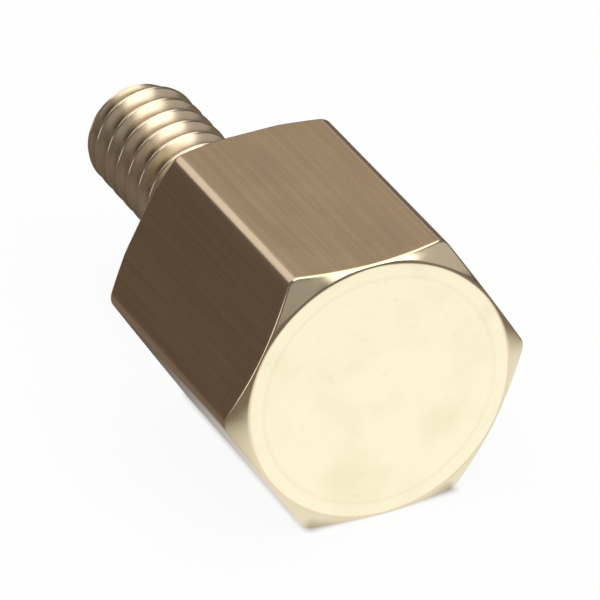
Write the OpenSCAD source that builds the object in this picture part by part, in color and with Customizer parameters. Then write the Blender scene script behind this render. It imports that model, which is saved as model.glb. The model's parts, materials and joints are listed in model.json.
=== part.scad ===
// Hexagonal thumbscrew, turned in one piece from hexagonal brass bar.
// The head keeps the flats of the bar, for the fingers or a spanner.
// The rest of the bar is turned down to a round stud, and a right-hand thread is cut on it.
// The screw lies on one flat of its head. Its axis runs along Y and the stud points to +Y.
// The origin is on the axis, in the plane of the shoulder where head and stud meet.

/* [Head] */
// Width of the bar across two opposite flats
across_flats = 11.11; // [8:0.01:16]
// Length of the head, from its end face to the shoulder
head_length = 11.9; // [6:0.1:24]
// How far the rounded corners of the bar fall short of sharp ones
corner_cut = 0.085; // [0.02:0.005:0.2]

/* [Chamfers] */
// Angle of the chamfers at both ends of the head, measured from the end face
chamfer_angle = 30; // [15:1:45]
// Gap between the rim of the round end face and the middle of each flat
end_face_inset = 0.08; // [0.02:0.01:0.6]
// How far the rim of the shoulder stands out past the middle of each flat
shoulder_outset = 0.15; // [0.05:0.01:0.4]

/* [Stud] */
// Nominal diameter of the thread, which the plain neck at the shoulder has in full
thread_diameter = 4.8; // [3:0.1:6]
// Length of the stud, from the shoulder to its tip
stud_length = 11.9; // [5:0.1:24]
// Width of the chamfer at the tip, the same along the stud and across it
tip_chamfer = 0.7; // [0.2:0.05:1.2]

/* [Thread] */
// Distance from one turn of the thread to the next
pitch = 1.058; // [0.6:0.001:1.3]
// Length of the plain neck that the thread leaves at the shoulder
neck_length = 1.1; // [0.5:0.05:3]

/* [Hidden] */
// Number of flats on the bar
bar_sides = 6;
// Number of steps that stand for a true circle
round_steps = 96;
// Spare length of bar, core and ridge past the ends of the screw
overrun = 1;
// Number of straight steps in one turn of the thread
turn_steps = 24;
// Shares of the pitch that stay flat on the crest and in the root of the thread
crest_share = 1 / 8;
root_share = 1 / 4;
// Slope of each side of the thread, measured from a plane square to the axis
flank_angle = 30;
// How far the crests stay below the neck
crest_drop = 0.02;

flat_distance = across_flats / 2;
sharp_corner_radius = flat_distance / cos(180 / bar_sides);
corner_radius = sharp_corner_radius - corner_cut;
end_face_radius = flat_distance - end_face_inset;
shoulder_radius = flat_distance + shoulder_outset;
end_chamfer_depth = (sharp_corner_radius - end_face_radius) * tan(chamfer_angle);
shoulder_chamfer_depth = (sharp_corner_radius - shoulder_radius) * tan(chamfer_angle);
neck_radius = thread_diameter / 2;
tip_radius = neck_radius - tip_chamfer;
crest_radius = neck_radius - crest_drop;
crest_width = pitch * crest_share;
thread_depth = pitch * (1 - crest_share - root_share) / 2 / tan(flank_angle);
core_radius = crest_radius - thread_depth;
// The ridge is rooted in the core by the width of its crest
ridge_foot_radius = core_radius - crest_width;
ridge_foot_width = crest_width + 2 * (crest_radius - ridge_foot_radius) * tan(flank_angle);
ridge_steps = ceil((stud_length + overrun) / pitch * turn_steps);
// Outline of the ridge: its distance from the axis, then its place along the axis
ridge_outline = [
    [ridge_foot_radius, -ridge_foot_width / 2],
    [ridge_foot_radius, ridge_foot_width / 2],
    [crest_radius, crest_width / 2],
    [crest_radius, -crest_width / 2],
];

// The bar as it comes from the drawing die: a hexagon with rounded corners
module bar_section() {
    intersection() {
        circle(r = sharp_corner_radius, $fn = bar_sides);
        circle(r = corner_radius, $fn = round_steps);
    }
}

// A length of bar that reaches past both ends of the screw
module hex_bar() {
    translate([0, 0, -head_length - overrun])
        linear_extrude(height = head_length + stud_length + 3 * overrun)
            bar_section();
}

// What the lathe leaves: the chamfered head, the neck, the run-out of the thread and its core
module turned_form() {
    rotate_extrude($fn = round_steps)
        polygon([
            [0, -head_length],
            [end_face_radius, -head_length],
            [sharp_corner_radius, end_chamfer_depth - head_length],
            [sharp_corner_radius, -shoulder_chamfer_depth],
            [shoulder_radius, 0],
            [neck_radius, 0],
            [neck_radius, neck_length],
            [core_radius, neck_length + pitch],
            [core_radius, stud_length + overrun],
            [0, stud_length + overrun],
        ]);
}

// Corners of the ridge at one step of its climb, which starts straight up as the screw lies
function ridge_corners(step) =
    let (turn = step / turn_steps, angle = 360 * turn - 90)
    [for (corner = ridge_outline) [corner.x * cos(angle), corner.x * sin(angle), corner.y + pitch * turn]];

// The two triangles that join one side of the ridge to its next step
function ridge_side(step, side) =
    let (near = 4 * step + side, across = 4 * step + (side + 1) % 4)
    [[near, near + 4, across], [across, near + 4, across + 4]];

// The ridge of the thread, which climbs a right-hand helix from inside the neck past the tip
module thread_ridge() {
    last = 4 * ridge_steps;
    polyhedron(
        points = [for (step = [0:ridge_steps]) each ridge_corners(step)],
        faces = concat(
            [[0, 1, 2, 3]],
            [for (step = [0:ridge_steps - 1], side = [0:3]) each ridge_side(step, side)],
            [[last + 3, last + 2, last + 1, last]]
        )
    );
}

// What is cut away to face the tip and to chamfer its first turn
module tip_cutter() {
    reach = neck_radius + overrun;
    rotate_extrude($fn = round_steps)
        polygon([
            [0, stud_length],
            [tip_radius, stud_length],
            [reach, stud_length + tip_radius - reach],
            [reach, stud_length + 3 * overrun],
            [0, stud_length + 3 * overrun],
        ]);
}

// The screw is turned about Z, then laid down on the flat that faces the floor
module thumbscrew() {
    color("#c8a35e")
        rotate([-90, 0, 0])
            difference() {
                union() {
                    intersection() {
                        hex_bar();
                        turned_form();
                    }
                    thread_ridge();
                }
                tip_cutter();
            }
}

thumbscrew();
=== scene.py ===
# %% [markdown]
# # A hexagonal thumbscrew in brass
# The screw is one piece. A lathe takes a length of hexagonal bar, faces and chamfers both ends of
# the head, turns the rest down to a round stud and cuts a thread on it. The frame below holds that
# piece as a solid at its real size, with sharp edges and each turn of the thread in straight steps.
# This lesson gives it rounded edges, a smooth thread and the finish, and never changes its size.

# %% Load the frame
import json
import math
import bmesh
import bpy
from mathutils import Matrix, Vector


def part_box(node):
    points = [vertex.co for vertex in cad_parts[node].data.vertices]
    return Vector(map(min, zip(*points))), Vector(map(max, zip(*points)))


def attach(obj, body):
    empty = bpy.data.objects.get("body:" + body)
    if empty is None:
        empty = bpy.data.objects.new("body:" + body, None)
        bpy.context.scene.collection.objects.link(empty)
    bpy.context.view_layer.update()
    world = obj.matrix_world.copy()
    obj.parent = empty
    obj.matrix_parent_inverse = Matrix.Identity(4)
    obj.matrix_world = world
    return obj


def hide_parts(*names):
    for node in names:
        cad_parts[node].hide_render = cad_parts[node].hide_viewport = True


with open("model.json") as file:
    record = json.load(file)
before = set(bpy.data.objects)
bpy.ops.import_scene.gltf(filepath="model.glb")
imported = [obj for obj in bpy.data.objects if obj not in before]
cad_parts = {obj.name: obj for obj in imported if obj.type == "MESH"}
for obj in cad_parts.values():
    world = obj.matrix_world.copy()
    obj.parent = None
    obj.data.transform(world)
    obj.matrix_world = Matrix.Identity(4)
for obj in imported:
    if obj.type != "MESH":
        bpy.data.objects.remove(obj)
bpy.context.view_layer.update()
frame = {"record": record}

# %% [markdown]
# ## Sizes
# Every size that the solid already has is read from it, so that the two can't drift apart. The
# screw lies along Y with the shoulder at zero, so the lowest Y is the length of the head and the
# highest is the length of the stud. The record of the thread's mount gives the radius and the length
# of the plain neck beside the shoulder. Only what neither can tell, such as the angle of a chamfer,
# is written here again.

# %% Read the sizes of the screw
MM = 0.001
low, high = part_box("thumbscrew")
thread_mount = next(mount for mount in frame["record"]["mounts"] if mount["name"] == "thread")

flat_distance = high.z
head_length = -low.y
stud_length = high.y
neck_radius = thread_mount["dims"]["r_mm"] * MM
neck_length = thread_mount["dims"]["length_mm"] * MM
print(f"across flats {2 * flat_distance / MM:.2f} mm, head {head_length / MM:.2f} mm, "
      f"stud {stud_length / MM:.2f} mm long and {2 * neck_radius / MM:.2f} mm thick")

# %% Work out the chamfers
CHAMFER_ANGLE = math.radians(30)
END_FACE_INSET = 0.08 * MM
SHOULDER_OUTSET = 0.15 * MM
TIP_CHAMFER = 0.7 * MM
EDGE_BREAK = 0.09 * MM
chamfer_slope = math.tan(CHAMFER_ANGLE)
end_face_radius = flat_distance - END_FACE_INSET
shoulder_radius = flat_distance + SHOULDER_OUTSET
print(f"end face {2 * end_face_radius / MM:.2f} mm and shoulder {2 * shoulder_radius / MM:.2f} mm across")

# %% Work out the rounded corners of the bar
BAR_SIDES = 6
half_side = math.pi / BAR_SIDES
sharp_corner = flat_distance / math.cos(half_side)
corner_round = (sharp_corner - high.x) / (1 / math.cos(half_side) - 1)
corner_centre = (flat_distance - corner_round) / math.cos(half_side)
flat_half_angle = math.atan((flat_distance - corner_round) * math.tan(half_side) / flat_distance)
print(f"corners rounded to {corner_round / MM:.2f} mm")

# %% Work out the thread
INCH = 25.4 * MM
THREADS_PER_INCH = 24
FLANK_SLOPE = math.tan(math.radians(60))
CREST_SHARE = 1 / 8
ROOT_SHARE = 1 / 4
CREST_DROP = 0.02 * MM
THREAD_ROUND = 0.04 * MM
pitch = INCH / THREADS_PER_INCH
flank_share = (1 - CREST_SHARE - ROOT_SHARE) / 2
thread_depth = pitch * flank_share * FLANK_SLOPE
crest_radius = neck_radius - CREST_DROP
print(f"thread pitch {pitch / MM:.3f} mm, depth {thread_depth / MM:.3f} mm")

# %% [markdown]
# ## A calculator made of nodes
# Geometry Nodes and materials both work with numbers that flow along wires. A formula of ten terms
# needs ten Math nodes, which is slow to write and hard to read. The small class below lets Python
# do that work: adding or multiplying two wires puts the matching Math node into the tree, so the
# shape can be written as plain algebra.

# %% A wire that can be added and multiplied
class Wire:
    """A number on its way through a node tree: arithmetic on it adds Math nodes."""

    def __init__(self, tree, socket):
        self.tree = tree
        self.socket = socket

    def calc(self, operation, *values):
        node = self.tree.nodes.new("ShaderNodeMath")
        node.operation = operation
        for slot, value in zip(node.inputs, values):
            plug(self.tree, value, slot)
        return Wire(self.tree, node.outputs[0])

    def __add__(self, other):
        return self.calc("ADD", self, other)

    def __radd__(self, other):
        return self.calc("ADD", other, self)

    def __sub__(self, other):
        return self.calc("SUBTRACT", self, other)

    def __rsub__(self, other):
        return self.calc("SUBTRACT", other, self)

    def __mul__(self, other):
        return self.calc("MULTIPLY", self, other)

    def __rmul__(self, other):
        return self.calc("MULTIPLY", other, self)

    def __truediv__(self, other):
        return self.calc("DIVIDE", self, other)

    def power(self, exponent):
        return self.calc("POWER", self, exponent)

    def at_least(self, other):
        return self.calc("MAXIMUM", self, other)

    def at_most(self, other):
        return self.calc("MINIMUM", self, other)

    def smooth_at_least(self, other, blend):
        return self.calc("SMOOTH_MAX", self, other, blend)

    def smooth_at_most(self, other, blend):
        return self.calc("SMOOTH_MIN", self, other, blend)

    def function(self, name):
        return self.calc(name, self)

    def above(self, other):
        return self.calc("GREATER_THAN", self, other)

    def ramp(self, start, end):
        """Rises smoothly from 0 at start to 1 at end."""
        node = self.tree.nodes.new("ShaderNodeMapRange")
        node.interpolation_type = "SMOOTHSTEP"
        for slot, value in zip(node.inputs, (self, start, end)):
            plug(self.tree, value, slot)
        return Wire(self.tree, node.outputs[0])


def plug(tree, value, slot):
    """Puts a wire, or a fixed value, into a node's input."""
    if isinstance(value, Wire):
        tree.links.new(value.socket, slot)
    else:
        slot.default_value = value


def add_node(tree, kind, inputs=(), **settings):
    """Adds one node, sets it up and fills its inputs by name."""
    node = tree.nodes.new(kind)
    for name, value in settings.items():
        setattr(node, name, value)
    for name, value in dict(inputs).items():
        plug(tree, value, node.inputs[name])
    return node


def output(tree, node, name=0):
    """The wire that leaves a node by the output with that name or number."""
    return Wire(tree, node.outputs[name])


def distance(across, along):
    """The length of a straight line, from how far it goes each way."""
    return (across.power(2) + along.power(2)).power(0.5)


def hump(share):
    """0 where a share starts, 1 in its middle and 0 again where it ends."""
    return 4 * share * (1 - share)


print("calculator ready")

# %% [markdown]
# ## The shape as a rule
# A boolean of a hexagon and a cone would give the right head, but with ragged triangles along the
# edges that a polished metal shows at once. Here the screw is a rule instead. Columns run round
# the axis and rows run along it. For each column the rule knows how far the bar reaches there,
# and so where the chamfer meets the flat. The tree below has an input for each size.

# %% Start the tree and name its sizes
shape = bpy.data.node_groups.new("turned_hexagonal_screw", "GeometryNodeTree")
shape.interface.new_socket("Geometry", in_out="OUTPUT", socket_type="NodeSocketGeometry")
GUARD = 0.35 * MM
SIZES = {
    "Flat Distance": flat_distance,
    "Corner Centre": corner_centre,
    "Corner Round": corner_round,
    "Flat Half Angle": flat_half_angle,
    "Head Length": head_length,
    "End Face Radius": end_face_radius,
    "Shoulder Radius": shoulder_radius,
    "Chamfer Slope": chamfer_slope,
    "Neck Radius": neck_radius,
    "Neck Length": neck_length,
    "Crest Radius": crest_radius,
    "Thread Depth": thread_depth,
    "Pitch": pitch,
    "Stud Length": stud_length,
    "Thread Round": THREAD_ROUND,
    "Tip Chamfer": TIP_CHAMFER,
    "Edge Break": EDGE_BREAK,
    "Guard": GUARD,
}
identifiers = {}
for name in SIZES:
    socket = shape.interface.new_socket(name, in_out="INPUT", socket_type="NodeSocketFloat")
    identifiers[name] = socket.identifier
sizes_node = shape.nodes.new("NodeGroupInput")
size = {name: output(shape, sizes_node, name) for name in SIZES}
print("tree inputs:", ", ".join(SIZES))

# %% [markdown]
# ## Columns round the bar
# The columns are not evenly spread. A flat needs only enough of them to draw the curve where the
# chamfer meets it, and a rounded corner is narrow but needs several of its own. Each column gets an
# angle, measured from straight up, and the reach of the bar in that direction.

# %% Angle and reach of each column
FLAT_STEPS = 16
CORNER_STEPS = 6
SIDE_STEPS = FLAT_STEPS + CORNER_STEPS
COLUMNS = BAR_SIDES * SIDE_STEPS + 1
side_angle = 2 * half_side


def columns_and_rows(rows):
    """The column's number and the row's number of each point of a grid with that many rows."""
    index = output(shape, shape.nodes.new("GeometryNodeInputIndex"))
    column = (index / rows).function("FLOOR")
    return column, index - column * rows


def column_place(column):
    """A column's angle about the axis, its angle from the middle of its flat, and its share of a corner."""
    side = ((column + 0.5) / SIDE_STEPS).function("FLOOR")
    step = column - side * SIDE_STEPS
    along_flat = (step / FLAT_STEPS).at_most(1)
    along_corner = ((step - FLAT_STEPS) / CORNER_STEPS).at_least(0)
    half = size["Flat Half Angle"]
    from_middle = half * (2 * along_flat - 1) + (side_angle - 2 * half) * along_corner
    return side * side_angle + from_middle, from_middle, along_corner


def bar_reach(from_middle, along_corner):
    """How far the bar reaches from the axis, in the direction of a column."""
    from_corner = from_middle - half_side
    flat_reach = size["Flat Distance"] / from_middle.function("COSINE")
    across = size["Corner Centre"] * from_corner.function("SINE")
    depth = (size["Corner Round"].power(2) - across.power(2)).at_least(0).power(0.5)
    round_reach = size["Corner Centre"] * from_corner.function("COSINE") + depth
    on_corner = along_corner.above(0)
    return flat_reach * (1 - on_corner) + round_reach * on_corner


print(COLUMNS, "columns")

# %% [markdown]
# ## Rows along a rounded outline
# The lathe's outline is a chain of corner points, from the middle of the end face to the root of the
# stud. A real edge is never quite sharp, so each corner point becomes five rows on a small curve that
# leaves one side of the corner and joins the other. The curve takes the edge break from each side,
# or half of a side that is shorter than that. Extra points beside the edges keep the broad faces
# truly flat in the shading, and Guard is their distance from the edge.

# %% Bend rows of points round an outline
KINK_ROWS = 5


def pick(wires, number):
    """The wire with that number, from a list."""
    node = shape.nodes.new("GeometryNodeIndexSwitch")
    node.data_type = "FLOAT"
    while len(node.index_switch_items) < len(wires):
        node.index_switch_items.new()
    plug(shape, number, node.inputs["Index"])
    for place, wire in enumerate(wires):
        plug(shape, wire, node.inputs[place + 1])
    return output(shape, node)


def corner_and_share(row):
    """The number of the corner point that a row belongs to, and how far round its curve it is."""
    number = ((row + 0.5) / KINK_ROWS).function("FLOOR")
    return number, (row - number * KINK_ROWS) / (KINK_ROWS - 1)


def rounded_row(outline, row):
    """Radius and place along the axis of one row of an outline with its corners rounded."""
    number, share = corner_and_share(row)
    last = len(outline) - 1
    turns = [(number - 1).at_least(0), number, (number + 1).at_most(last)]
    before, here, after = [[pick(list(wires), turn) for wires in zip(*outline)] for turn in turns]
    ends = []
    for other in (before, after):
        length = distance(other[0] - here[0], other[1] - here[1])
        part = (size["Edge Break"] / length).at_most(0.5)
        ends.append([mine + (its - mine) * part for mine, its in zip(here, other)])
    return [
        first * (1 - share).power(2) + 2 * share * (1 - share) * middle + final * share.power(2)
        for first, middle, final in zip(ends[0], here, ends[1])
    ]


def grid(rows):
    """A flat grid of the right number of points, to be bent into shape."""
    inputs = {"Vertices X": COLUMNS, "Vertices Y": rows}
    return add_node(shape, "GeometryNodeMeshGrid", inputs).outputs["Mesh"]


def place(geometry, radius, along, angle, marks):
    """Moves the points of a grid to where the rule puts them, and keeps its marks."""
    position = add_node(shape, "ShaderNodeCombineXYZ", {
        "X": radius * angle.function("SINE"),
        "Y": along,
        "Z": radius * angle.function("COSINE"),
    })
    moved = shape.nodes.new("GeometryNodeSetPosition")
    shape.links.new(geometry, moved.inputs["Geometry"])
    shape.links.new(position.outputs[0], moved.inputs["Position"])
    geometry = moved.outputs["Geometry"]
    for name, value in marks.items():
        store = add_node(shape, "GeometryNodeStoreNamedAttribute", {"Name": name, "Value": value})
        shape.links.new(geometry, store.inputs["Geometry"])
        geometry = store.outputs["Geometry"]
    return geometry


print("rows of", KINK_ROWS, "for each corner of an outline")

# %% [markdown]
# ## The head
# The outline of the head depends on the column. Where the bar reaches further, the chamfers run
# further down the flats, which gives the curved edges of a turned hexagon. The mark called turned
# tells the finish which skin a lathe has cut and which still comes from the drawing die. Three more
# marks tell it of the chamfers, the worn edges and the groove of the thread.

# %% Draw the outline of the head
AXIS = 0.0
SHOULDER = 0.0
end = -1 * size["Head Length"]
root_end = 3 * size["Edge Break"]


def head_outline(reach):
    """Corner points of the head, from the middle of its end face to the root of the stud."""
    chamfer_end = end + (reach - size["End Face Radius"]) * size["Chamfer Slope"]
    over_shoulder = (reach - size["Shoulder Radius"]).at_least(0) * size["Chamfer Slope"]
    flat_end = -1 * (over_shoulder + size["Edge Break"])
    rim = reach.at_most(size["Shoulder Radius"]) - size["Edge Break"]
    return [
        (AXIS, end),
        (size["End Face Radius"] - size["Guard"], end),
        (size["End Face Radius"], end),
        (reach, chamfer_end),
        (reach, chamfer_end + size["Guard"]),
        (reach, flat_end - size["Guard"]),
        (reach, flat_end),
        (rim, SHOULDER),
        (rim - size["Guard"], SHOULDER),
        (size["Neck Radius"] + size["Guard"], SHOULDER),
        (size["Neck Radius"], SHOULDER),
        (size["Neck Radius"], root_end),
    ]


HEAD_CORNERS = 12
END_RIM, END_EDGE, SHOULDER_EDGE, SHOULDER_RIM = 2, 3, 6, 7
print("outline of", HEAD_CORNERS, "corner points")

# %% Make the head
def from_edge_to_edge(row, first, last):
    """1 on the rows between the middles of two edges, else 0."""
    middle = KINK_ROWS // 2
    return row.above(first * KINK_ROWS + middle) * (1 - row.above(last * KINK_ROWS + middle - 1))


HEAD_ROWS = KINK_ROWS * HEAD_CORNERS
column, row = columns_and_rows(HEAD_ROWS)
angle, from_middle, along_corner = column_place(column)
radius, along = rounded_row(head_outline(bar_reach(from_middle, along_corner)), row)
number, share = corner_and_share(row)
worn_corners = (END_RIM, END_EDGE, SHOULDER_EDGE, SHOULDER_RIM)
worn_edge = pick([float(corner in worn_corners) for corner in range(HEAD_CORNERS)], number) * hump(share)
drawn = from_edge_to_edge(row, END_EDGE, SHOULDER_EDGE)
end_chamfer = from_edge_to_edge(row, END_RIM, END_EDGE)
shoulder_chamfer = from_edge_to_edge(row, SHOULDER_EDGE, SHOULDER_RIM)
marks = {
    "turned": 1 - drawn,
    "chamfer": end_chamfer + shoulder_chamfer,
    "worn": worn_edge.at_least(drawn * hump(along_corner)),
    "groove": 0.0,
}
head = place(grid(HEAD_ROWS), radius, along, angle, marks)
print("head of", HEAD_ROWS, "rows")

# %% [markdown]
# ## The thread
# A thread follows a path: it climbs one pitch in each turn. If the rows ran square to the axis they
# would cut across it and show steps, so here the rows climb with the thread, and each one keeps to
# the same place on its crest, flank or root. A right-hand thread climbs towards the tip as the angle
# grows. The die can't reach the shoulder, so it leaves a plain neck there, and its tapered mouth makes
# the roots rise to that neck over one pitch. At the other end the chamfer of the tip cuts the first turn.

# %% Work out the radius of the thread
FULL_TURN = 2 * math.pi
tip_radius = size["Neck Radius"] - size["Tip Chamfer"]
thread_end = size["Stud Length"] - size["Edge Break"]


def thread_cut(along, angle):
    """The radius of the thread at a point of the stud, and the share of its depth that is cut there."""
    phase = (along / size["Pitch"] - angle / FULL_TURN).function("FRACT")
    from_crest = 0.5 - (phase - 0.5).function("ABSOLUTE")
    flank = size["Crest Radius"] - size["Thread Depth"] * (from_crest - CREST_SHARE / 2) / flank_share
    ridge = flank.smooth_at_most(size["Crest Radius"], size["Thread Round"])
    run_out = ((along - size["Neck Length"]) / size["Pitch"]).at_least(0).at_most(1)
    full_depth = size["Neck Radius"] - size["Crest Radius"] + size["Thread Depth"]
    core = size["Neck Radius"] - full_depth * run_out
    cut_radius = core.smooth_at_least(ridge, size["Thread Round"]).at_most(size["Neck Radius"])
    cone_radius = tip_radius + size["Stud Length"] - along
    radius = cut_radius.smooth_at_most(cone_radius, size["Thread Round"])
    return radius, (size["Neck Radius"] - cut_radius) / full_depth


print(f"crests and roots rounded over {THREAD_ROUND / MM:.2f} mm")

# %% Make the thread
ROWS_PER_TURN = 32
turns = math.ceil(stud_length / pitch) + 1
THREAD_ROWS = turns * ROWS_PER_TURN + 1
column, row = columns_and_rows(THREAD_ROWS)
angle = column_place(column)[0]
climb = size["Pitch"] * (row / ROWS_PER_TURN + angle / FULL_TURN - 1)
along = climb.at_least(root_end).at_most(thread_end)
radius, groove = thread_cut(along, angle)
marks = {"turned": 1.0, "chamfer": 0.0, "worn": 0.0, "groove": groove}
thread = place(grid(THREAD_ROWS), radius, along, angle, marks)
print("thread of", turns, "turns")

# %% Make the tip
TIP_CORNERS = 4
TIP_ROWS = KINK_ROWS * TIP_CORNERS
column, row = columns_and_rows(TIP_ROWS)
angle = column_place(column)[0]
tip_outline = [
    (thread_cut(thread_end, angle)[0], thread_end),
    (tip_radius, size["Stud Length"]),
    (tip_radius - size["Guard"], size["Stud Length"]),
    (AXIS, size["Stud Length"]),
]
radius, along = rounded_row(tip_outline, row)
marks = {"turned": 1.0, "chamfer": 0.0, "worn": 0.0, "groove": 0.0}
tip = place(grid(TIP_ROWS), radius, along, angle, marks)
print("tip of", TIP_ROWS, "rows")

# %% [markdown]
# ## The brass
# All of the screw is one brass, but its skin has two histories. The flats are as the drawing die left
# them: fine lines along the bar and a brown skin. The end face, chamfers and stud were cut on the
# lathe: fine rings round the axis, paler and brighter. Handling leaves soft stains on both, with a
# faint ring and two smudges on the end face, and it wears the edges bright. The roots of the thread
# are duller, and their colour is darkened both as dirt and as painted shade in the grooves. A picture
# wrapped round the screw could show all this, but it would blur close by and need a seam. So each
# pattern is worked out from the place on the screw and from the marks that the shape carries, and it
# holds from any side.

# %% Tools for a finish
PER_MM = 1 / MM


def mix_colour(tree, share, first, second):
    """A colour between two others."""
    node = tree.nodes.new("ShaderNodeMix")
    node.data_type = "RGBA"
    plug(tree, share, node.inputs["Factor"])
    colour_slots = [slot for slot in node.inputs if slot.type == "RGBA"]
    for value, slot in zip((first, second), colour_slots):
        plug(tree, value, slot)
    return Wire(tree, next(slot for slot in node.outputs if slot.type == "RGBA"))


def noise(tree, point, cells_per_mm, detail, shift=0.0):
    """Smooth noise, about 0.5 on average, with that many cells to the millimetre each way."""
    x, y, z = [value * cells for value, cells in zip(point, cells_per_mm)]
    cell = add_node(tree, "ShaderNodeCombineXYZ", {"X": x + shift, "Y": y, "Z": z})
    node = add_node(tree, "ShaderNodeTexNoise", {"Scale": 1.0, "Detail": detail})
    tree.links.new(cell.outputs[0], node.inputs["Vector"])
    return output(tree, node)


def mark(tree, name):
    """A mark that the shape carries."""
    return output(tree, add_node(tree, "ShaderNodeAttribute", attribute_name=name), "Fac")


def places(tree):
    """The place on an object, in metres, as three wires."""
    coordinates = tree.nodes.new("ShaderNodeTexCoord")
    split = tree.nodes.new("ShaderNodeSeparateXYZ")
    tree.links.new(coordinates.outputs["Object"], split.inputs[0])
    return [output(tree, split, axis) for axis in "XYZ"]


print("tools for a finish ready")

# %% Work out the patterns of the skin
FINE_DETAIL = 3.0
PLAIN_DETAIL = 2.0
LINE_CELLS = (14, 0.08, 14)
BROAD_LINE_CELLS = (3, 0.12, 3)
RING_CELLS = (9, 9, 0)
STAIN_CELLS = (0.35, 0.25, 0.35)
STAIN_SHIFT = 4.0
SPECK_CELLS = (2.2, 2.2, 2.2)
# A ramp is given by where it starts and ends: on a noise, on the depth of the groove, or in millimetres
STAIN_RAMP = (0.45, 0.72)
SPECK_RAMP = (0.62, 0.75)
FLANK_RAMP = (0.05, 0.25)
ROOT_DIRT_AND_SHADE_RAMP = (0.35, 0.9)
STUD_RAMP = (0.0, 0.4)
RIM_RING_RAMP = (0.03, 0.14)
SMUDGE_RAMP = (0.1, 1.3)
# These are in millimetres too, as are all places in the finish
END_FACE_SKIN = 0.1
RIM_RING_RADIUS = 4.85
SMUDGES = [(-1.7, -3.6), (2.5, -2.0)]


def skin_patterns(tree):
    """Every pattern of the skin by its name, each from 0, where it is absent, to 1."""
    point = [metres * PER_MM for metres in places(tree)]
    x, y, z = point
    radius = distance(x, z)
    on_end_face = (END_FACE_SKIN - head_length * PER_MM - y).above(0)
    from_ring = (radius - RIM_RING_RADIUS).function("ABSOLUTE")
    from_smudges = [distance(x - smudge_x, z - smudge_z) for smudge_x, smudge_z in SMUDGES]
    smudges = sum(1 - apart.ramp(*SMUDGE_RAMP) for apart in from_smudges)
    skin = {name: mark(tree, name) for name in ("turned", "chamfer", "worn", "groove")}
    skin["lines"] = noise(tree, point, LINE_CELLS, FINE_DETAIL)
    skin["broad_lines"] = noise(tree, point, BROAD_LINE_CELLS, PLAIN_DETAIL)
    skin["rings"] = noise(tree, (radius, y, 0.0), RING_CELLS, PLAIN_DETAIL)
    skin["stain"] = noise(tree, point, STAIN_CELLS, FINE_DETAIL, STAIN_SHIFT).ramp(*STAIN_RAMP)
    skin["specks"] = noise(tree, point, SPECK_CELLS, PLAIN_DETAIL).ramp(*SPECK_RAMP)
    skin["stud"] = y.ramp(*STUD_RAMP)
    skin["rim_ring"] = on_end_face * (1 - from_ring.ramp(*RIM_RING_RAMP))
    skin["smudges"] = on_end_face * smudges
    skin["flank"] = skin["groove"].ramp(*FLANK_RAMP)
    # The roots of the thread are painted darker: partly dirt, partly painted shade in the grooves
    skin["root"] = skin["groove"].ramp(*ROOT_DIRT_AND_SHADE_RAMP)
    return skin


print("smudges on the end face:", len(SMUDGES))

# %% Choose the colours of the brass
DRAWN_TONES = (0.50, 0.37, 0.225, 1), (0.60, 0.445, 0.275, 1)
TURNED_TONES = (0.998, 0.92, 0.66, 1), (1.0, 0.934, 0.678, 1)
STUD_TONE = (0.66, 0.57, 0.42, 1)
TONE_RAMP = (0.3, 0.7)
# What lies over those tones, in order: its pattern, how strongly it shows, and its own tone
LAYERS = [
    ("chamfer", 1.0, (0.80, 0.71, 0.49, 1)),
    ("worn", 0.85, (0.78, 0.64, 0.45, 1)),
    ("stain", 0.12, (0.72, 0.58, 0.28, 1)),
    ("specks", 0.05, (0.30, 0.22, 0.12, 1)),
    ("rim_ring", 0.10, (0.70, 0.56, 0.34, 1)),
    ("smudges", 0.14, (0.62, 0.55, 0.22, 1)),
    ("flank", 1.0, (0.66, 0.56, 0.41, 1)),
    # Darker roots: partly dirt, partly painted shade in the grooves of the thread
    ("root", 0.8, (0.28, 0.21, 0.125, 1)),
]


def brass_colour(tree, skin):
    """The colour of the drawn and of the turned skin, with the layers over them."""
    streaks = 0.5 * skin["lines"].ramp(*TONE_RAMP) + 0.5 * skin["broad_lines"].ramp(*TONE_RAMP)
    drawn_colour = mix_colour(tree, streaks, *DRAWN_TONES)
    turned_colour = mix_colour(tree, skin["rings"].ramp(*TONE_RAMP), *TURNED_TONES)
    turned_colour = mix_colour(tree, skin["stud"], turned_colour, STUD_TONE)
    colour = mix_colour(tree, skin["turned"], drawn_colour, turned_colour)
    for pattern, strength, tone in LAYERS:
        colour = mix_colour(tree, strength * skin[pattern], colour, tone)
    return colour


print(len(LAYERS), "layers of colour")

# %% Make the brass
DRAWN_ROUGHNESS = 0.17
TURNED_ROUGHNESS = 0.15
PATTERN_ROUGHNESS = 0.08
ROUGHNESS_CHANGES = {"stain": 0.05, "chamfer": -0.05, "groove": 0.10, "worn": -0.04}
BUMP_DEPTH = 0.0008 * MM


def brass_roughness(skin):
    """How dull the skin is: duller in its stains and grooves, brighter where it is cut or worn."""
    drawn_rough = DRAWN_ROUGHNESS + PATTERN_ROUGHNESS * skin["lines"]
    turned_rough = TURNED_ROUGHNESS + PATTERN_ROUGHNESS * skin["rings"]
    rough = drawn_rough * (1 - skin["turned"]) + turned_rough * skin["turned"]
    for pattern, change in ROUGHNESS_CHANGES.items():
        rough = rough + change * skin[pattern]
    return rough


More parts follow.
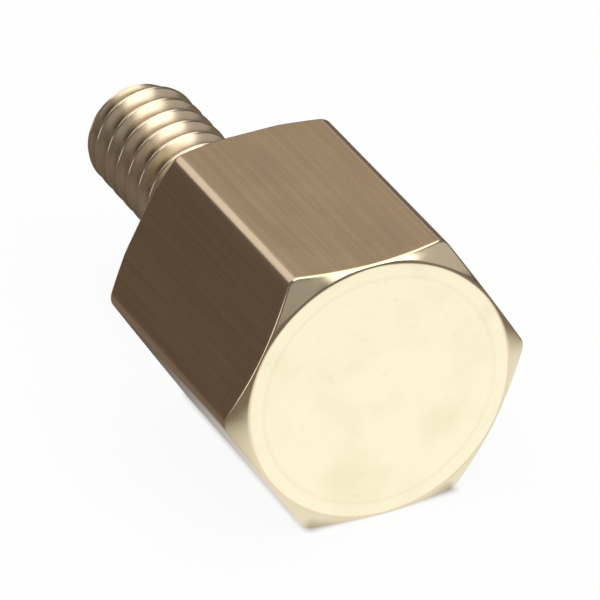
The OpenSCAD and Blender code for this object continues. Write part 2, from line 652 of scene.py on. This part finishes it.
def brass_finish():
    """Bare brass with the lines of the die and the rings of the lathe in its colour, gloss and relief."""
    material = bpy.data.materials.new("brass")
    material.use_nodes = True
    tree = material.node_tree
    tree.nodes.clear()
    shader = add_node(tree, "ShaderNodeBsdfPrincipled", {"Metallic": 1.0})
    surface = tree.nodes.new("ShaderNodeOutputMaterial")
    tree.links.new(shader.outputs[0], surface.inputs["Surface"])
    skin = skin_patterns(tree)
    plug(tree, brass_colour(tree, skin), shader.inputs["Base Color"])
    plug(tree, brass_roughness(skin), shader.inputs["Roughness"])
    height = skin["lines"] * (1 - skin["turned"]) + skin["rings"] * skin["turned"]
    bump = add_node(tree, "ShaderNodeBump", {"Height": height, "Strength": 1.0, "Distance": BUMP_DEPTH})
    tree.links.new(bump.outputs[0], shader.inputs["Normal"])
    return material


brass = brass_finish()
print("brass of", len(brass.node_tree.nodes), "nodes")

# %% [markdown]
# ## One closed skin
# Head, thread and tip share their columns, so where one ends the next begins, point on point.
# Joining them and merging points that lie together gives one closed skin. The result is taken out
# of the tree as a plain mesh, because what is shared with others has to stand on its own.

# %% Close the skin and bake it
MERGE = 0.0005 * MM


def finish_tree(parts, material):
    """Joins the parts into one skin at the end of the tree, and gives it its material."""
    join = shape.nodes.new("GeometryNodeJoinGeometry")
    for part in parts:
        shape.links.new(part, join.inputs[0])
    merge = add_node(shape, "GeometryNodeMergeByDistance", {"Distance": MERGE})
    smooth = shape.nodes.new("GeometryNodeSetShadeSmooth")
    realize = shape.nodes.new("GeometryNodeRealizeInstances")
    dress = shape.nodes.new("GeometryNodeSetMaterial")
    dress.inputs["Material"].default_value = material
    chain = [join, merge, smooth, realize, dress, shape.nodes.new("NodeGroupOutput")]
    for first, second in zip(chain, chain[1:]):
        shape.links.new(first.outputs[0], second.inputs[0])


finish_tree([head, thread, tip], brass)
screw = bpy.data.objects.new("thumbscrew_brass", bpy.data.meshes.new("thumbscrew_brass"))
bpy.context.scene.collection.objects.link(screw)
modifier = screw.modifiers.new("shape", "NODES")
modifier.node_group = shape
for name, value in SIZES.items():
    modifier[identifiers[name]] = value
baked = bpy.data.meshes.new_from_object(screw.evaluated_get(bpy.context.evaluated_depsgraph_get()))
screw.modifiers.remove(modifier)
screw.data = baked
print("baked", len(baked.vertices), "points")

# %% Check the skin
work = bmesh.new()
work.from_mesh(screw.data)
bmesh.ops.remove_doubles(work, verts=work.verts, dist=MERGE)
bmesh.ops.dissolve_degenerate(work, edges=work.edges, dist=MERGE / 10)
bmesh.ops.recalc_face_normals(work, faces=work.faces)
open_edges = sum(not edge.is_manifold for edge in work.edges)
volume = work.calc_volume(signed=True)
work.to_mesh(screw.data)
work.free()
print(len(screw.data.polygons), "faces,", open_edges, "open edges,", round(volume / MM ** 3, 1), "mm3")

# %% Put the skin in place of the plain solid
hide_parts("thumbscrew")
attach(screw, "root")
print(screw.name, "stands for the solid")

# %% [markdown]
# ## The studio
# Polished metal shows its surroundings more than itself. The end face looks down at the floor in
# front of it, so a pool of white there gives it its cream. Further off the floor is a warm grey in
# the metal, and behind the screw the room is dim, which gives the flats and the stud their browns. To
# the camera the floor is white all round, with a thin shadow where the screw touches it. Brighter lamps
# would whiten the floor too, but they would bleach the brass. Here each lamp has one task: the broad one
# overhead lights the floor, the key in front puts the bright patch on the thread, and the five weaker
# ones behind, in front and to the left show as soft tones in the flats and chamfers that face them.

# %% Lay the floor
FLOOR_REACH = 3.0
floor_corners = [(-1, -1), (1, -1), (1, 1), (-1, 1)]
floor_points = [(FLOOR_REACH * x, FLOOR_REACH * y, low.z) for x, y in floor_corners]
floor_mesh = bpy.data.meshes.new("floor")
floor_mesh.from_pydata(floor_points, [], [(0, 1, 2, 3)])
floor = bpy.data.objects.new("floor", floor_mesh)
bpy.context.scene.collection.objects.link(floor)
print("floor at", round(low.z / MM, 3), "mm")

# %% Work out how white the paper looks
PAPER = (0.95, 0.95, 0.95, 1)
PAPER_IN_METAL = (0.245, 0.208, 0.184, 1)
# To the camera the white fades only far off, and in the metal it is a pool that is longer than wide
WHITE_SHARE = 0.94
WHITE_RAMP = (100 * MM, 700 * MM)
POOL_X = 3.7 * MM
POOL_Y = -20.7 * MM
POOL_SQUEEZE = 1.45
POOL_RAMP = (15 * MM, 28 * MM)
# The shadow fades from just inside the rim of the flat below, and in the metal half of it is lost
FOOT_WIDTH = 2 * flat_distance * math.tan(half_side)
SHADOW_SIDE_INSET = 0.3 * MM
SHADOW_END_INSET = 0.5 * MM
SHADOW_RAMP = (0.0, 0.55 * MM)
SHADOW_WHITE_IN_METAL = 0.5


def paper_white(tree, camera_ray, in_metal):
    """The share of plain white in the paper: all round to the camera, and in the pool to the metal."""
    x, y, _ = places(tree)
    near = 1 - distance(x, y).ramp(*WHITE_RAMP)
    pool = 1 - distance(POOL_SQUEEZE * (x - POOL_X), y - POOL_Y).ramp(*POOL_RAMP)
    beside = (x.function("ABSOLUTE") - (FOOT_WIDTH / 2 - SHADOW_SIDE_INSET)).at_least(0)
    past_ends = (SHADOW_END_INSET - head_length - y).at_least(y).at_least(0)
    clear = distance(beside, past_ends).ramp(*SHADOW_RAMP)
    darkest = SHADOW_WHITE_IN_METAL * in_metal
    seen = (WHITE_SHARE * near * camera_ray).at_least(pool * in_metal)
    return seen * (darkest + (1 - darkest) * clear)


print(f"screw lies on a flat of {FOOT_WIDTH / MM:.2f} by {head_length / MM:.2f} mm")

# %% Make the white paper
def white_paper():
    """Matt paper with plain white mixed in, which keeps the shadow under the screw."""
    material = bpy.data.materials.new("white_paper")
    material.use_nodes = True
    tree = material.node_tree
    path = tree.nodes.new("ShaderNodeLightPath")
    kinds = ("Is Camera Ray", "Is Glossy Ray", "Is Transmission Ray")
    camera_ray, glossy_ray, glass_ray = [output(tree, path, kind) for kind in kinds]
    in_metal = glossy_ray.at_least(glass_ray)
    matt = tree.nodes["Principled BSDF"]
    plug(tree, mix_colour(tree, in_metal, PAPER, PAPER_IN_METAL), matt.inputs["Base Color"])
    matt.inputs["Roughness"].default_value = 0.9
    matt.inputs["Specular IOR Level"].default_value = 0.1
    glow = add_node(tree, "ShaderNodeEmission", {"Color": (1, 1, 1, 1), "Strength": 1.0})
    mix = add_node(tree, "ShaderNodeMixShader", {0: paper_white(tree, camera_ray, in_metal)})
    tree.links.new(matt.outputs[0], mix.inputs[1])
    tree.links.new(glow.outputs[0], mix.inputs[2])
    tree.links.new(mix.outputs[0], tree.nodes["Material Output"].inputs["Surface"])
    return material


floor_mesh.materials.append(white_paper())
print("paper of", len(floor_mesh.materials[0].node_tree.nodes), "nodes")

# %% Hang the lamps
def soft_lamp(name, hung_at, width, height, radiance, aim=(0, 0, 0), tint=(1, 1, 1)):
    """A rectangular lamp of an even brightness, where 1 looks white. Its sizes are in metres."""
    data = bpy.data.lights.new(name, "AREA")
    data.shape = "RECTANGLE"
    data.size = width
    data.size_y = height
    data.energy = radiance * math.pi * width * height
    data.color = tint
    lamp = bpy.data.objects.new(name, data)
    lamp.location = hung_at
    lamp.rotation_euler = (Vector(aim) - Vector(hung_at)).to_track_quat("-Z", "Y").to_euler()
    lamp.visible_camera = False
    bpy.context.scene.collection.objects.link(lamp)
    return lamp


WARM_TINT = (0.98, 0.96, 0.90)
lamps = [
    soft_lamp("overhead", (0.035, 0.0, 0.17), width=0.22, height=0.28, radiance=1.6, aim=(0.035, 0, 0)),
    soft_lamp("key", (0.0946, -0.2391, 0.1545), width=0.18, height=0.16, radiance=2.3),
    soft_lamp("back_right", (0.12, 0.24, 0.155), width=0.18, height=0.14, radiance=0.37, tint=WARM_TINT),
    soft_lamp("back_left", (-0.075, 0.24, 0.165), width=0.19, height=0.13, radiance=0.75),
    soft_lamp("front_left", (-0.09, -0.32, 0.126), width=0.16, height=0.12, radiance=0.21),
    soft_lamp("left", (-0.29, -0.02, 0.075), width=0.14, height=0.12, radiance=1.1),
    soft_lamp("front_right", (0.23, -0.17, 0.065), width=0.18, height=0.11, radiance=0.38),
]
print("lamps:", ", ".join(lamp.name for lamp in lamps))

# %% Dim the room
ROOM_TONE = (0.19, 0.163, 0.158, 1)
world = bpy.data.worlds.new("room")
world.use_nodes = True
world.node_tree.nodes["Background"].inputs["Color"].default_value = ROOM_TONE
bpy.context.scene.world = world
bpy.context.scene.view_settings.view_transform = "Standard"
print("room of tone", ROOM_TONE[:3])

# %% [markdown]
# ## The camera
# The photograph looks down on the end face from the left, at about thirty degrees. A long lens from a
# third of a metre keeps its mild perspective.

# %% Place the camera
VIEW_AZIMUTH = math.radians(-22.8)
VIEW_ELEVATION = math.radians(30.1)
VIEW_ROLL = math.radians(-3.0)
VIEW_WIDTHS = 28.1
VIEW_DISTANCE = VIEW_WIDTHS * 2 * flat_distance
FRAME_SHARE = 0.74

back = Vector((math.sin(VIEW_AZIMUTH) * math.cos(VIEW_ELEVATION),
               -math.cos(VIEW_AZIMUTH) * math.cos(VIEW_ELEVATION),
               math.sin(VIEW_ELEVATION)))
level = Vector((0, 0, 1)).cross(back).normalized()
upright = back.cross(level)
right = level * math.cos(VIEW_ROLL) + upright * math.sin(VIEW_ROLL)
up = upright * math.cos(VIEW_ROLL) - level * math.sin(VIEW_ROLL)
spans = []
target = Vector()
for axis in (right, up):
    reaches = [vertex.co.dot(axis) for vertex in screw.data.vertices]
    spans.append(max(reaches) - min(reaches))
    target += axis * (max(reaches) + min(reaches)) / 2
camera_data = bpy.data.cameras.new("camera")
camera_data.lens = camera_data.sensor_width * FRAME_SHARE * VIEW_DISTANCE / max(spans)
camera_data.clip_start = 0.01
camera_data.clip_end = 10
camera = bpy.data.objects.new("camera", camera_data)
facing = Matrix((right, up, back)).transposed().to_4x4()
camera.matrix_world = Matrix.Translation(target + back * VIEW_DISTANCE) @ facing
bpy.context.scene.collection.objects.link(camera)
bpy.context.scene.camera = camera
print(f"lens {camera_data.lens:.0f} mm at {VIEW_DISTANCE / MM:.0f} mm")
